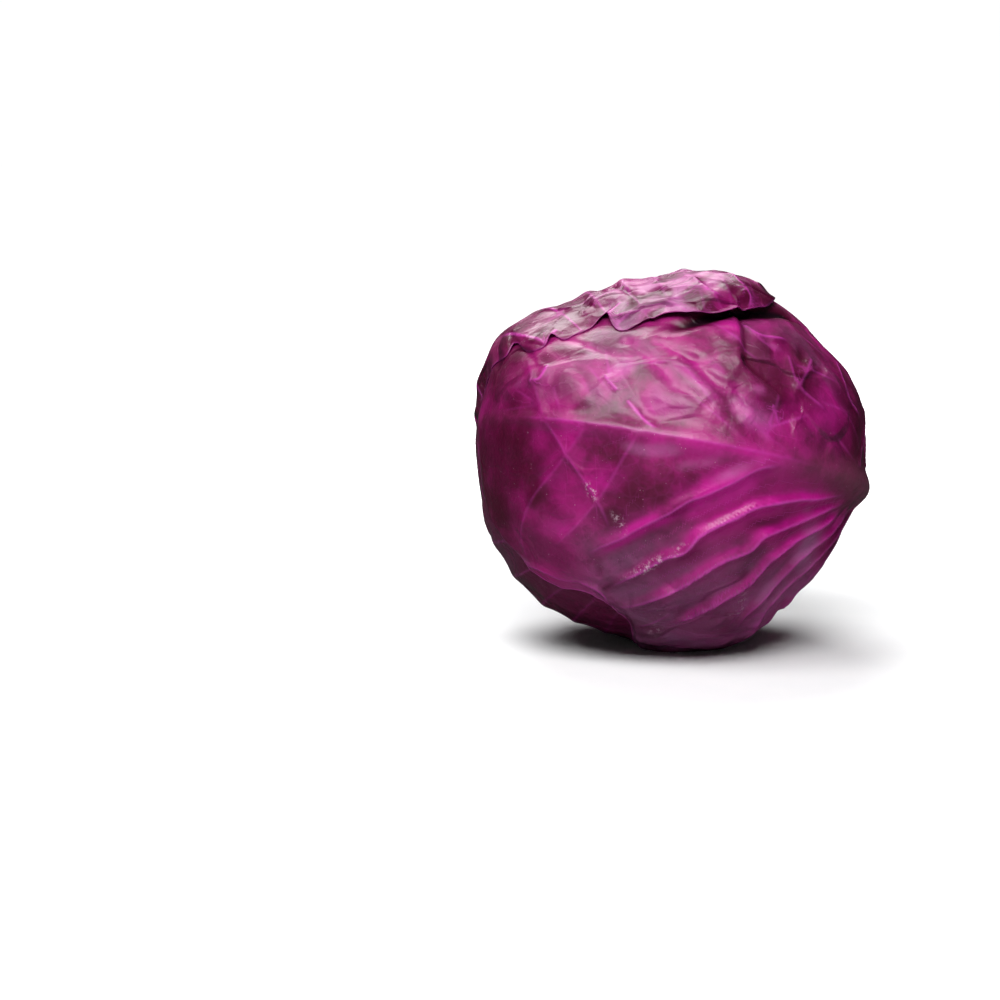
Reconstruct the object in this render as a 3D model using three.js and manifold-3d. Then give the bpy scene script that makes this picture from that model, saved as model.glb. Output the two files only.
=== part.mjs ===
// A whole red cabbage, lying on the side of its head as it comes to rest on a table.
//
// The head is a tapered stem, a packed heart that grips it, and eight leaves wrapped over the heart one
// inside the other. Millimetres, +Z up, origin on the table under the middle of the head. The cut stem
// points to the right, back and slightly down; the crown is at its other end, to the left and front.

import * as THREE from "three";
import { mergeVertices } from "three/addons/utils/BufferGeometryUtils.js";
import Module from "manifold-3d";

const { clamp, degToRad, euclideanModulo, lerp, radToDeg, smoothstep } = THREE.MathUtils;

// The head's outline, seen from the front: its radius in mm every 20 degrees, anticlockwise from the
// right. The crown bulges at the upper left; the stem end, at the lower right, is flatter.
const OUTLINE_RADII = [
  75.4, 78.0, 74.8, 75.0, 74.6, 71.0, 73.0, 82.0, 81.8,
  80.2, 80.3, 78.8, 76.2, 75.0, 76.0, 75.4, 71.8, 72.2,
];
const OUTLINE_STEP = 360 / OUTLINE_RADII.length;
const DEPTH_RADIUS = 75.5;

// The table presses the head flat this far below its middle.
const PRESSED_HEIGHT = 72;

// The stem's direction from the middle of the head, in degrees from +X round to the back, and above level.
const STEM_AZIMUTH = 33.5;
const STEM_ELEVATION = -15.7;

// The head is rolled back on its side by this angle, which turns its upper side away from the front.
const HEAD_ROLL = 9;

// Leaves: each is smaller than the one outside it by LAYER_SHRINK of the head, and has air under it.
const LEAF_THICKNESS = 1.2;
const LAYER_SHRINK = 0.035;
const LEAF_ANGLE = 137.5;
const FIRST_LEAF_AZIMUTH = 135;

// A leaf is drawn as if laid out flat. Its middle lies LEAF_MIDDLE degrees round from the stem, and
// distances along it and across it are degrees of arc from that middle.
const LEAF_MIDDLE = 105;
const LEAF_CELLS_ALONG = 16;
const LEAF_CELLS_ACROSS = 16;

// On the wrapper leaves the midrib stands out at the base, and sinks into the leaf towards the crown.
const MIDRIB_HEIGHT = 4;
const MIDRIB_HALF_WIDTH = 7;
const MIDRIB_FADE = [-88, -42];
const LONG_MIDRIB_HEIGHT = 1.6;
const LONG_MIDRIB_FADE = [-60, 60];

// The stem: radii and distances from the middle of the head, measured along the stem's direction.
const STEM_CUT_DISTANCE = 71;
const STEM_CUT_RADIUS = 17;
const STEM_NECK_DISTANCE = 58;
const STEM_NECK_RADIUS = 17.5;
const STEM_TOP_DISTANCE = 0;
const STEM_TOP_RADIUS = 8;
const STEM_TIP_DISTANCE = -6;
const STEM_TIP_RADIUS = 4.4;
const STEM_TIP_CHAMFER = 1;
const STEM_SIDES = 24;
const CLEARANCE = 0.5;
const BASE_CLEARANCE = 1.5;

// The heart is a ball of this many cells round and from end to end. Its socket runs out past the stem's cut.
const HEART_CELLS_ROUND = 26;
const HEART_CELLS_DOWN = 16;
const SOCKET_RUN_OUT = 5;
const MERGE_DISTANCE = 1e-3;

// Each leaf from the outside in. Its half-widths are given at even stations from base to tip, on the side
// that hangs lower (lower) and on the other (upper). Its tip is given as distances from its middle, at
// even stations from the lower side to the upper.
const ROUND_SIDE = [16, 52, 74, 84, 88, 86, 78, 62, 30];
const ROUND_TIP = [-14, -6, -2, 0, -2, -6, -14];
const LEAF_SHAPES = [
  {
    name: "wrapper_leaf_top",
    tip: [46, 55, 53, 50, 42, 36, 30],
    lower: [14, 36, 48, 57, 70, 81, 81, 73, 54],
    upper: [14, 50, 70, 80, 86, 88, 84, 74, 48],
    midrib: MIDRIB_HEIGHT,
    lift: 3.2,
  },
  {
    name: "wrapper_leaf_front",
    tip: [89, 95, 98, 104, 106, 101, 90],
    lower: [16, 42, 82, 108, 106, 84, 66, 64, 52],
    upper: [16, 50, 74, 84, 88, 88, 84, 74, 52],
    midrib: MIDRIB_HEIGHT,
    longMidrib: LONG_MIDRIB_HEIGHT,
  },
  { name: "wrapper_leaf_under", reach: 94, midrib: MIDRIB_HEIGHT },
  { name: "wrapper_leaf_crown", reach: 100 },
  { name: "head_leaf_5", reach: 94 },
  { name: "head_leaf_6", reach: 90 },
  { name: "head_leaf_7", reach: 92 },
  { name: "head_leaf_8", reach: 88 },
];

// The lifted lower edge of the top leaf: where the lift starts and ends, along the leaf and across it.
const LIFT_ALONG = [-56, 52];
const LIFT_ACROSS = [42, 72];

// Finishes: a waxy leaf, the duller heart, and the dry fibrous stem.
const LEAF_FINISH = { color: 0x7a1553, roughness: 0.38, metalness: 0 };
const HEART_FINISH = { color: 0x9a5a8c, roughness: 0.5, metalness: 0 };
const STEM_FINISH = { color: 0xd9d4bf, roughness: 0.6, metalness: 0 };

const wasm = await Module();
wasm.setup();

// Unit directions fixed to the head: towards the stem, towards its upper side, and towards its front.
const stemLevel = Math.cos(degToRad(STEM_ELEVATION));
const stemDirection = new THREE.Vector3(
  stemLevel * Math.cos(degToRad(STEM_AZIMUTH)),
  stemLevel * Math.sin(degToRad(STEM_AZIMUTH)),
  Math.sin(degToRad(STEM_ELEVATION)),
);
const rolledUp = new THREE.Vector3(0, Math.sin(degToRad(HEAD_ROLL)), Math.cos(degToRad(HEAD_ROLL)));
const upperDirection = rolledUp.projectOnPlane(stemDirection).normalize();
const frontDirection = new THREE.Vector3().crossVectors(stemDirection, upperDirection);

// A smooth curve through evenly spaced values. The place runs from 0 to the number of the last value.
function throughValues(values, place, closed) {
  const count = values.length;
  const at = (i) => (closed ? values[(i + count) % count] : values[clamp(i, 0, count - 1)]);
  const i = closed ? Math.floor(place) : Math.min(Math.floor(place), count - 2);
  const t = place - i;
  const [a, b, c, d] = [at(i - 1), at(i), at(i + 1), at(i + 2)];
  return b + 0.5 * t * (c - a + t * (2 * a - 5 * b + 4 * c - d + t * (3 * (b - c) + d - a)));
}

// The head's radius in a direction: its outline in the plane facing the front, rounded off in depth,
// and pressed in where the head meets the table.
function headRadius(direction) {
  const turn = euclideanModulo(radToDeg(Math.atan2(direction.z, direction.x)), 360);
  const outline = throughValues(OUTLINE_RADII, turn / OUTLINE_STEP, true);
  const radius = lerp(outline, DEPTH_RADIUS, direction.y ** 2);
  return radius * direction.z < -PRESSED_HEIGHT ? -PRESSED_HEIGHT / direction.z : radius;
}

// The size of a layer, as a share of the head.
function layerScale(layer) {
  return 1 - layer * LAYER_SHRINK;
}

// The unit directions of one leaf: out through its middle, along it to the tip, and across it.
function leafAxes(layer) {
  const azimuth = degToRad(FIRST_LEAF_AZIMUTH - layer * LEAF_ANGLE);
  const side = frontDirection.clone().multiplyScalar(Math.cos(azimuth));
  side.addScaledVector(upperDirection, Math.sin(azimuth));
  const across = upperDirection.clone().multiplyScalar(Math.cos(azimuth));
  across.addScaledVector(frontDirection, -Math.sin(azimuth));
  const middle = degToRad(LEAF_MIDDLE);
  const out = stemDirection.clone().multiplyScalar(Math.cos(middle));
  out.addScaledVector(side, Math.sin(middle));
  const along = side.clone().multiplyScalar(Math.cos(middle));
  along.addScaledVector(stemDirection, -Math.sin(middle));
  return { out, along, across };
}

// The direction of a place on a leaf that is laid out flat, given in degrees of arc from its middle.
function directionOnLeaf(axes, alongDegrees, acrossDegrees) {
  const arc = Math.hypot(alongDegrees, acrossDegrees);
  const reach = arc > 0 ? Math.sin(degToRad(arc)) / arc : 0;
  const direction = axes.out.clone().multiplyScalar(Math.cos(degToRad(arc)));
  direction.addScaledVector(axes.along, alongDegrees * reach);
  return direction.addScaledVector(axes.across, acrossDegrees * reach);
}

// How far the midrib stands out at a place on the leaf.
function midribHeight(shape, along, across) {
  const base = (shape.midrib ?? 0) * (1 - smoothstep(along, ...MIDRIB_FADE));
  const length = (shape.longMidrib ?? 0) * (1 - smoothstep(along, ...LONG_MIDRIB_FADE));
  return (base + length) * Math.exp(-((across / MIDRIB_HALF_WIDTH) ** 2));
}

// How far the free edge of a lifted leaf stands off the leaf below it.
function edgeLift(shape, along, across) {
  const [start, end] = LIFT_ALONG;
  if (!shape.lift || along < start || along > end) {
    return 0;
  }
  const hump = Math.sin((Math.PI * (along - start)) / (end - start));
  return shape.lift * hump * smoothstep(-across, ...LIFT_ACROSS);
}

// Where a leaf starts along its length, so that its base stays just clear of the stem.
function leafBase(layer) {
  const radius = headRadius(stemDirection) * layerScale(layer) - LEAF_THICKNESS;
  return radToDeg(Math.asin((STEM_NECK_RADIUS + BASE_CLEARANCE) / radius)) - LEAF_MIDDLE;
}

// Splits each four-sided cell across its shorter diagonal, which keeps the bent cells close to the curve.
function splitShorterWay(geometry) {
  const position = geometry.getAttribute("position");
  const index = geometry.index.array;
  const corner = (i) => new THREE.Vector3().fromBufferAttribute(position, i);
  for (let i = 0; i < index.length; i += 6) {
    const [a, b, d, , c] = index.slice(i, i + 5);
    if (corner(a).distanceTo(corner(c)) < corner(b).distanceTo(corner(d))) {
      index.set([a, b, c, a, c, d], i);
    }
  }
}

// One leaf: a thin box, one cell thick, bent over the head.
function leafMesh(shape, layer) {
  const axes = leafAxes(layer);
  const lower = shape.lower ?? ROUND_SIDE;
  const upper = shape.upper ?? ROUND_SIDE;
  const tip = shape.tip ?? ROUND_TIP.map((bow) => shape.reach + bow);
  const base = leafBase(layer);
  const geometry = new THREE.BoxGeometry(1, 1, 1, LEAF_CELLS_ACROSS, LEAF_CELLS_ALONG, 1);
  const position = geometry.getAttribute("position");
  const vertex = new THREE.Vector3();
  for (let i = 0; i < position.count; i++) {
    vertex.fromBufferAttribute(position, i);
    const run = vertex.y + 0.5;
    const side = vertex.x * 2;
    const stations = side < 0 ? lower : upper;
    const along = lerp(base, throughValues(tip, (vertex.x + 0.5) * (tip.length - 1), false), run);
    const across = side * throughValues(stations, run * (stations.length - 1), false);
    const direction = directionOnLeaf(axes, along, across);
    const raised = midribHeight(shape, along, across) + edgeLift(shape, along, across);
    const depth = vertex.z < 0 ? LEAF_THICKNESS : 0;
    direction.multiplyScalar(headRadius(direction) * layerScale(layer) + raised - depth);
    position.setXYZ(i, direction.x, direction.y, direction.z);
  }
  splitShorterWay(geometry);
  geometry.computeVertexNormals();
  const mesh = new THREE.Mesh(geometry, new THREE.MeshStandardMaterial(LEAF_FINISH));
  mesh.name = shape.name;
  return mesh;
}

// A round body on the stem's axis, from [radius, distance] pairs that run from the crown end to the cut.
function turnedOnStem(profile) {
  const geometry = new THREE.LatheGeometry(
    profile.map(([radius, distance]) => new THREE.Vector2(radius, distance)),
    STEM_SIDES,
  );
  const turn = new THREE.Quaternion().setFromUnitVectors(new THREE.Vector3(0, 1, 0), stemDirection);
  return geometry.applyQuaternion(turn);
}

// The stem's profile, or the socket that the heart closes round it, grown outwards by a clearance.
function stemProfile(grow, cutDistance) {
  return [
    [0, STEM_TIP_DISTANCE - grow],
    [STEM_TIP_RADIUS + grow, STEM_TIP_DISTANCE + STEM_TIP_CHAMFER - grow],
    [STEM_TOP_RADIUS + grow, STEM_TOP_DISTANCE],
    [STEM_NECK_RADIUS + grow, STEM_NECK_DISTANCE],
    [STEM_CUT_RADIUS + grow, cutDistance],
    [0, cutDistance],
  ];
}

// A closed geometry as a solid that can be cut.
function solidOf(geometry) {
  const bare = new THREE.BufferGeometry().setAttribute("position", geometry.getAttribute("position"));
  bare.setIndex(geometry.index);
  const merged = mergeVertices(bare, MERGE_DISTANCE);
  return new wasm.Manifold(
    new wasm.Mesh({
      numProp: 3,
      vertProperties: merged.getAttribute("position").array,
      triVerts: new Uint32Array(merged.index.array),
    }),
  );
}

// A solid as a geometry again.
function geometryOf(solid) {
  const mesh = solid.getMesh();
  const geometry = new THREE.BufferGeometry();
  geometry.setAttribute("position", new THREE.BufferAttribute(mesh.vertProperties, 3));
  geometry.setIndex(new THREE.BufferAttribute(mesh.triVerts, 1));
  geometry.computeVertexNormals();
  return geometry;
}

// The heart: the packed young leaves inside the last wrapped leaf, with a socket for the stem.
function heartMesh() {
  const ball = new THREE.SphereGeometry(1, HEART_CELLS_ROUND, HEART_CELLS_DOWN);
  const position = ball.getAttribute("position");
  const direction = new THREE.Vector3();
  for (let i = 0; i < position.count; i++) {
    direction.fromBufferAttribute(position, i).normalize();
    direction.multiplyScalar(headRadius(direction) * layerScale(LEAF_SHAPES.length));
    position.setXYZ(i, direction.x, direction.y, direction.z);
  }
  const socket = turnedOnStem(stemProfile(CLEARANCE, STEM_CUT_DISTANCE + SOCKET_RUN_OUT));
  const mesh = new THREE.Mesh(
    geometryOf(solidOf(ball).subtract(solidOf(socket))),
    new THREE.MeshStandardMaterial(HEART_FINISH),
  );
  mesh.name = "heart";
  return mesh;
}

// The stem: cut flat behind the leaf bases, and tapering inside the head.
function stemMesh() {
  const mesh = new THREE.Mesh(
    turnedOnStem(stemProfile(0, STEM_CUT_DISTANCE)),
    new THREE.MeshStandardMaterial(STEM_FINISH),
  );
  mesh.name = "stem";
  return mesh;
}

const head = new THREE.Group();
head.add(stemMesh(), heartMesh());
LEAF_SHAPES.forEach((shape, layer) => head.add(leafMesh(shape, layer)));

// The head is set down on the table, with the middle of its footprint at the origin.
const bounds = new THREE.Box3().setFromObject(head, true);
head.position.set(-(bounds.min.x + bounds.max.x) / 2, -(bounds.min.y + bounds.max.y) / 2, -bounds.min.z);

const cabbage = new THREE.Group();
cabbage.add(head);

export default cabbage;
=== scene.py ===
"""A whole red cabbage, lying on the side of its head on a pale table.

The sections follow the head as it grows: the stem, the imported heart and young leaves, and then the
outer leaves one over the other, each pressed on the one below. Blender's own sizes are metres.
Places on a leaf are degrees of arc, as if it were laid out flat, and its relief is in millimetres.
"""

import math

import bpy
import numpy as np
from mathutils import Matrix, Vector


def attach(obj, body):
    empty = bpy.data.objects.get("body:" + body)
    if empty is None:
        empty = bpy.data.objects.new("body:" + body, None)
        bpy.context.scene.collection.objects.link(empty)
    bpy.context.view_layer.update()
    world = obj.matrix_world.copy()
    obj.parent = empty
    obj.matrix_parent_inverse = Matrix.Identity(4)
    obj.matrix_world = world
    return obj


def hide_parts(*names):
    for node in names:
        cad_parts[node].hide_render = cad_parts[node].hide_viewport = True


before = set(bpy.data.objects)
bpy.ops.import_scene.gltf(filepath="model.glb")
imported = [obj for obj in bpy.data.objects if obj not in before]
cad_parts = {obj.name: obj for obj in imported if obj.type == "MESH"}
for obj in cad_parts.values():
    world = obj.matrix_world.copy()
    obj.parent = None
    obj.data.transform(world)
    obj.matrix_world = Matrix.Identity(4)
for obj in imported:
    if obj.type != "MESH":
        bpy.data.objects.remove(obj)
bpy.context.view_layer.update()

# --- Camera ---------------------------------------------------------------------------------------
# It stands a metre in front of the head, a little above its middle, and looks slightly down on it.
# The middle of the head is found from the stem, whose cut is square to the way that the stem points.
STEM_AZIMUTH = math.radians(33.5)
STEM_ELEVATION = math.radians(-15.7)
STEM_CUT_DISTANCE = 0.071
SAME_PLACE = 1e-5
CAMERA_LENS = 94
CAMERA_SENSOR = 36
CAMERA_DISTANCE = 1.0
CAMERA_TILT = math.radians(9)
CAMERA_TO_THE_LEFT = 0.0659
CAMERA_BELOW = 0.0146

stemward = np.array([
    math.cos(STEM_ELEVATION) * math.cos(STEM_AZIMUTH),
    math.cos(STEM_ELEVATION) * math.sin(STEM_AZIMUTH),
    math.sin(STEM_ELEVATION),
])
stem_points = np.array([vertex.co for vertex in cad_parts["stem"].data.vertices])
stem_reach = stem_points @ stemward
cut_points = np.unique(np.round(stem_points[stem_reach > stem_reach.max() - SAME_PLACE], 6), axis=0)
head_centre = cut_points.mean(axis=0) - STEM_CUT_DISTANCE * stemward

looking = np.array([0, math.cos(CAMERA_TILT), -math.sin(CAMERA_TILT)])
camera_up = np.array([0, math.sin(CAMERA_TILT), math.cos(CAMERA_TILT)])
camera_data = bpy.data.cameras.new("camera")
camera_data.lens = CAMERA_LENS
camera_data.sensor_width = CAMERA_SENSOR
camera = bpy.data.objects.new("camera", camera_data)
camera.location = head_centre - CAMERA_DISTANCE * looking - CAMERA_BELOW * camera_up
camera.location.x -= CAMERA_TO_THE_LEFT
camera.rotation_euler = (math.pi / 2 - CAMERA_TILT, 0, 0)
bpy.context.scene.collection.objects.link(camera)
bpy.context.scene.camera = camera
bpy.context.scene.view_settings.view_transform = "Standard"

# --- Table and light ------------------------------------------------------------------------------
# A sheet of smooth white laminate, larger than the view, in a white room. Three wide soft lights hang
# over it: behind, at the front left and at the front. A weak one stands low in front.
TABLE_SIZE = 12
TABLE_WHITE = (0.86, 0.87, 0.88, 1)
TABLE_GRAIN = (0.90, 0.90, 0.90, 1)
TABLE_BOUNCE = (0.44, 0.41, 0.43, 1)
TABLE_MIRRORED = (0.030, 0.025, 0.028, 1)
GLOW_STARTS = 0.22
GLOW_FULL = 0.55
ROOM_BOUNCE = (0.022, 0.022, 0.024, 1)
ROOM_WHITE = (1.02, 1.02, 1.02, 1)
SKYLIGHT_POWER = 0.07
SKYLIGHT_SPREAD = math.radians(80)
SKYLIGHT_TURN = (math.radians(26), math.radians(-14), 0)


def plug(tree, value, socket):
    """Gives a socket a value: a link from another socket, a number or a colour."""
    if isinstance(value, bpy.types.NodeSocket):
        tree.links.new(value, socket)
    else:
        socket.default_value = value


def set_inputs(tree, node, **values):
    """Gives a node's inputs their values, by name, with _ for a space."""
    for name, value in values.items():
        plug(tree, value, node.inputs[name.replace("_", " ")])


def add_node(tree, kind, **settings):
    """A shader node. A setting that starts with a capital is an input."""
    node = tree.nodes.new(kind)
    for name, value in settings.items():
        if name[0].isupper():
            set_inputs(tree, node, **{name: value})
        else:
            setattr(node, name, value)
    return node


def mixed(tree, share, first, second):
    """A colour that runs from first to second as share runs from 0 to 1."""
    node = add_node(tree, "ShaderNodeMix", data_type="RGBA", clamp_factor=True)
    for socket, value in zip((node.inputs[0], node.inputs[6], node.inputs[7]), (share, first, second)):
        plug(tree, value, socket)
    return node.outputs[2]


def stretched(tree, value, start, end):
    """A number that goes smoothly from 0 to 1 as value goes from start to end."""
    node = add_node(tree, "ShaderNodeMapRange", interpolation_type="SMOOTHSTEP",
                    Value=value, From_Min=start, From_Max=end)
    return node.outputs["Result"]


def new_material(name):
    """A node material: (material, its tree, its Principled shader, the place on the piece)."""
    material = bpy.data.materials.new(name)
    material.use_nodes = True
    tree = material.node_tree
    place = add_node(tree, "ShaderNodeTexCoord").outputs["Object"]
    return material, tree, tree.nodes["Principled BSDF"], place


def add_light(name, direction, distance, size, power):
    """A round soft light that hangs in a direction from the head and faces it."""
    data = bpy.data.lights.new(name, "AREA")
    data.shape = "DISK"
    data.size = size
    data.energy = power
    lamp = bpy.data.objects.new(name, data)
    toward = Vector(direction).normalized()
    lamp.location = Vector(head_centre) + distance * toward
    lamp.rotation_euler = toward.to_track_quat("Z", "Y").to_euler()
    bpy.context.scene.collection.objects.link(lamp)


bpy.ops.object.select_all(action="DESELECT")
bpy.ops.mesh.primitive_plane_add(size=TABLE_SIZE, location=(0, 0, 0))
table = bpy.context.object
table.name = "table"
laminate, tree, shader, place = new_material("white_laminate")
grain = add_node(tree, "ShaderNodeTexNoise", Vector=place, Scale=60.0, Detail=3.0).outputs["Fac"]
white = mixed(tree, grain, TABLE_WHITE, TABLE_GRAIN)
seen = add_node(tree, "ShaderNodeLightPath").outputs["Is Camera Ray"]
mirrored = add_node(tree, "ShaderNodeLightPath").outputs["Is Glossy Ray"]
bounced = mixed(tree, mirrored, TABLE_BOUNCE, TABLE_MIRRORED)
far = add_node(tree, "ShaderNodeVectorMath", operation="LENGTH", Vector=place).outputs["Value"]
set_inputs(
    tree, shader,
    Base_Color=mixed(tree, seen, bounced, white),
    Emission_Color=mixed(tree, seen, (0, 0, 0, 1), (1, 1, 1, 1)),
    Emission_Strength=stretched(tree, far, GLOW_STARTS, GLOW_FULL),
    Roughness=0.6,
    Specular_IOR_Level=0.2,
)
table.data.materials.append(laminate)

add_light("back_softbox", (-0.15, 0.60, 0.85), 1.1, 0.8, 12)
add_light("left_softbox", (-0.46, -0.36, 0.80), 1.2, 0.7, 8)
add_light("front_softbox", (0.02, -0.66, 0.75), 1.2, 0.7, 13.5)
add_light("low_softbox", (-0.15, -1.0, 0.20), 1.3, 0.5, 0.35)
dome = bpy.data.lights.new("skylight", "SUN")
dome.energy = SKYLIGHT_POWER
dome.angle = SKYLIGHT_SPREAD
skylight = bpy.data.objects.new("skylight", dome)
skylight.rotation_euler = SKYLIGHT_TURN
bpy.context.scene.collection.objects.link(skylight)

room = bpy.data.worlds.new("white_room")
room.use_nodes = True
tree = room.node_tree
seen = add_node(tree, "ShaderNodeLightPath").outputs["Is Camera Ray"]
set_inputs(tree, tree.nodes["Background"], Color=mixed(tree, seen, ROOM_BOUNCE, ROOM_WHITE))
bpy.context.scene.world = room

# --- Stem -----------------------------------------------------------------------------------------
# The pale woody stem, cut flat with a knife behind the leaf bases. Its skin carries the scars of the
# leaves that were pulled off, and the cut shows a ring of fibres round a soft pith.
STEM_NECK_RADIUS = 0.0175
STEM_CUT_RADIUS = 0.017
STEM_TOP_RADIUS = 0.008
NECK_RUN = 0.82
SCAR_SPACING = 0.0045
SCAR_HEIGHT = 0.00055
LUMP_HEIGHT = 0.0005
PITH_BULGE = 0.0009
FIBRE_RING_DEPTH = 0.0006
KNIFE_MARKS = 0.00018
PITH = (0.56, 0.50, 0.30, 1)
WOOD_RINGS = (
    (0.55, (0.60, 0.56, 0.36, 1)),
    (0.74, (0.26, 0.17, 0.08, 1)),
    (0.86, (0.55, 0.46, 0.30, 1)),
)
STEM_SKIN = (0.20, 0.055, 0.085, 1)
BROWNED = (0.20, 0.115, 0.065, 1)
WOODY = (0.62, 0.55, 0.42, 1)
STEM_MM = (17, 17, 68)
NOISE_CELLS = 32
NOISE_GAIN = 1.7


def noise(places, size, seed):
    """Smooth noise from about -1 to 1 at places in mm. Its bumps are about size across."""
    pulls = np.random.default_rng(seed).normal(size=(NOISE_CELLS,) * 3 + (3,))
    pulls /= np.linalg.norm(pulls, axis=-1, keepdims=True)
    cell = places / size
    low = np.floor(cell).astype(int)
    part = cell - low
    fade = part ** 3 * (part * (part * 6 - 15) + 10)
    total = np.zeros(len(places))
    for corner in np.ndindex(2, 2, 2):
        pull = pulls[tuple(((low + corner) % NOISE_CELLS).T)]
        share = np.where(corner, fade, 1 - fade).prod(axis=1)
        total += share * (pull * (part - corner)).sum(axis=1)
    return NOISE_GAIN * total


def points_of(mesh):
    """The places of a mesh's vertices, as an array."""
    flat = np.empty(3 * len(mesh.vertices))
    mesh.vertices.foreach_get("co", flat)
    return flat.reshape(-1, 3)


def set_points(mesh, points):
    """Moves a mesh's vertices to these places."""
    mesh.vertices.foreach_set("co", np.ravel(points))
    mesh.update()


def set_attribute(mesh, name, values):
    """Stores one number for each vertex, for the material to read."""
    mesh.attributes.new(name, "FLOAT", "POINT").data.foreach_set("value", values.astype(np.float32))


bpy.ops.object.select_all(action="DESELECT")
bpy.ops.mesh.primitive_cylinder_add(vertices=96, radius=1, depth=1, end_fill_type="TRIFAN")
stem = bpy.context.object
stem.name = "cut_stem"
bpy.ops.object.mode_set(mode="EDIT")
bpy.ops.mesh.select_all(action="SELECT")
bpy.ops.mesh.subdivide(number_cuts=15)
bpy.ops.object.mode_set(mode="OBJECT")
bpy.ops.object.shade_smooth()

# The unit cylinder is drawn out to the stem: z runs from its top, in the heart, to the cut.
drawn = points_of(stem.data)
run = drawn[:, 2] + 0.5
radius_share = np.linalg.norm(drawn[:, :2], axis=1)
turn = np.arctan2(drawn[:, 1], drawn[:, 0])
neck_share = np.clip(run / NECK_RUN, 0, 1)
radius = STEM_TOP_RADIUS + (STEM_NECK_RADIUS - STEM_TOP_RADIUS) * neck_share
radius += (STEM_CUT_RADIUS - STEM_NECK_RADIUS) * np.clip((run - NECK_RUN) / (1 - NECK_RUN), 0, 1)
on_wall = np.clip((radius_share - 0.9) / 0.1, 0, 1)
scar_turn = (run * STEM_CUT_DISTANCE / SCAR_SPACING + turn / (2 * math.pi)) % 1
scars = SCAR_HEIGHT * np.exp(-((scar_turn - 0.5) / 0.13) ** 2) * on_wall
cylinder_places = np.column_stack([drawn[:, :2], run]) * STEM_MM
lumps = LUMP_HEIGHT * noise(cylinder_places, 9, 3) * on_wall
cut_bulge = PITH_BULGE * np.clip(1 - radius_share ** 2, 0, 1)
cut_bulge -= FIBRE_RING_DEPTH * np.exp(-((radius_share - 0.72) / 0.08) ** 2)
cut_bulge += KNIFE_MARKS * noise(cylinder_places, 2.2, 5)
on_cut = (run > 0.999) & (radius_share < 0.97)
stem_radius = radius_share * radius + scars + lumps
axis_run = STEM_CUT_DISTANCE * run + np.where(on_cut, cut_bulge, 0)
side = np.cross(stemward, (0, 0, 1))
side /= np.linalg.norm(side)
upright = np.cross(side, stemward)
stem_places = head_centre + np.outer(axis_run, stemward)
stem_places += np.outer(stem_radius * np.cos(turn), side) + np.outer(stem_radius * np.sin(turn), upright)
set_points(stem.data, stem_places)
bpy.ops.object.mode_set(mode="EDIT")
bpy.ops.mesh.select_all(action="SELECT")
bpy.ops.mesh.normals_make_consistent(inside=False)
bpy.ops.object.mode_set(mode="OBJECT")
bpy.ops.object.shade_smooth_by_angle(angle=math.radians(50))
set_attribute(stem.data, "from_middle", radius_share)

stem_flesh, tree, shader, place = new_material("stem_flesh")
from_middle = add_node(tree, "ShaderNodeAttribute", attribute_name="from_middle").outputs["Fac"]
fibres = add_node(tree, "ShaderNodeTexNoise", Vector=place, Scale=900.0, Detail=4.0, Roughness=0.7)
fibres = fibres.outputs["Fac"]
stains = add_node(tree, "ShaderNodeTexNoise", Vector=place, Scale=140.0, Detail=5.0).outputs["Fac"]
rings = add_node(tree, "ShaderNodeValToRGB", Fac=from_middle)
rings.color_ramp.elements[0].color = PITH
rings.color_ramp.elements[1].color = STEM_SKIN
for spot, colour in WOOD_RINGS:
    rings.color_ramp.elements.new(spot).color = colour
stained = stretched(tree, stains, 0.48, 0.66)
aged = mixed(tree, stained, rings.outputs["Color"], BROWNED)
colour = mixed(tree, stretched(tree, fibres, 0.50, 0.85), aged, WOODY)
fibre_bump = add_node(tree, "ShaderNodeBump", Height=fibres, Strength=0.5, Distance=0.0004)
set_inputs(tree, shader, Base_Color=colour, Roughness=0.62, Normal=fibre_bump.outputs["Normal"])
stem.data.materials.append(stem_flesh)
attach(stem, "root")
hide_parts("stem")

# --- Heart and young leaves -----------------------------------------------------------------------
# Packed leaves that never saw the light, with only a glimpse of them in the gaps round the stem. They
# keep their solids and get the same waxy skin as the outer leaves, without its wax bloom and painted
# sheen.
DEEP_PURPLE = (0.082, 0.0005, 0.023, 1)
BRIGHT_PURPLE = (0.310, 0.0018, 0.135, 1)
VIVID_MAGENTA = (0.510, 0.0035, 0.255, 1)
CRIMSON = (0.056, 0.0004, 0.015, 1)
DEEP_SHADE = (0.010, 0.0004, 0.005, 1)
BLOOM_AND_SHEEN = (0.370, 0.125, 0.300, 1)
VEIN_PINK = (0.560, 0.050, 0.390, 1)
RIB_MAUVE = (0.235, 0.065, 0.120, 1)
DRY_EDGE = (0.600, 0.400, 0.500, 1)
FOLD_SLANT = math.radians(-35)
FOLD_STRETCH = 0.55
HEART_CREAM = (0.62, 0.50, 0.52, 1)
HEART_PURPLE = (0.20, 0.02, 0.13, 1)


def maths(tree, operation, *values, kind="ShaderNodeMath"):
    """One sum, product or the like of numbers or sockets: the node, with its inputs set."""
    node = add_node(tree, kind, operation=operation)
    for value, socket in zip(values, node.inputs):
        plug(tree, value, socket)
    return node


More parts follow.
